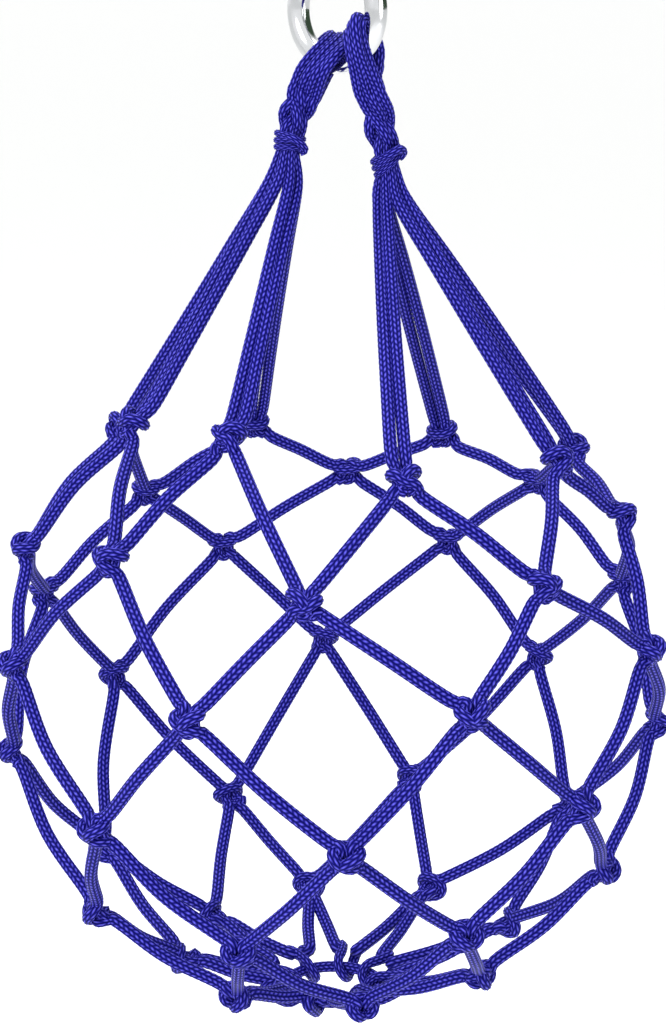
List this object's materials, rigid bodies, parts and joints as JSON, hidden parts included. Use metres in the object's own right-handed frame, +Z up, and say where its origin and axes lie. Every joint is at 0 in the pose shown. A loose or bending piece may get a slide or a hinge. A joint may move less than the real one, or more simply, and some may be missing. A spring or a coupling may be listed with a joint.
{
  "type": "mesh ball bag",
  "caption": "Knotted cord net holding one large ball, with doubled suspension cords, two plaited legs and a steel hanging ring.",
  "frame": {"origin": "where a hook bears, inside the top of the steel ring", "axes": "+Z up along the hanging bag, -Y towards the viewer, +X to the right"},
  "size_m": [0.2559, 0.2558, 0.4003],
  "materials": {
    "cord": "satin",
    "steel": "polished"
  },
  "bodies": {
    "ring": {"hanging_ring": "steel"},
    "bag": {"leg_left_three_cords": "cord", "leg_left_one_cord": "cord", "leg_right_three_cords": "cord", "leg_right_one_cord": "cord", "gather_lashing_left": "cord", "gather_lashing_right": "cord", "suspension_bight_left_1": "cord", "suspension_bight_left_2": "cord", "suspension_bight_left_3": "cord", "suspension_bight_left_4": "cord", "suspension_bight_right_1": "cord", "suspension_bight_right_2": "cord", "suspension_bight_right_3": "cord", "suspension_bight_right_4": "cord", "net_course_1": "cord", "net_course_2": "cord", "net_course_3": "cord", "net_course_4": "cord", "net_course_5": "cord", "net_course_6": "cord", "bottom_ring": "cord"}
  },
  "joints": [
    {"name": "bag_swing", "type": "hinge", "parent": "ring", "child": "bag", "pos_m": [-0.00299, 0.00279, -0.03325], "axis": [0.716, -0.6677, 0.2036], "range_deg": [-45, 45]}
  ]
}
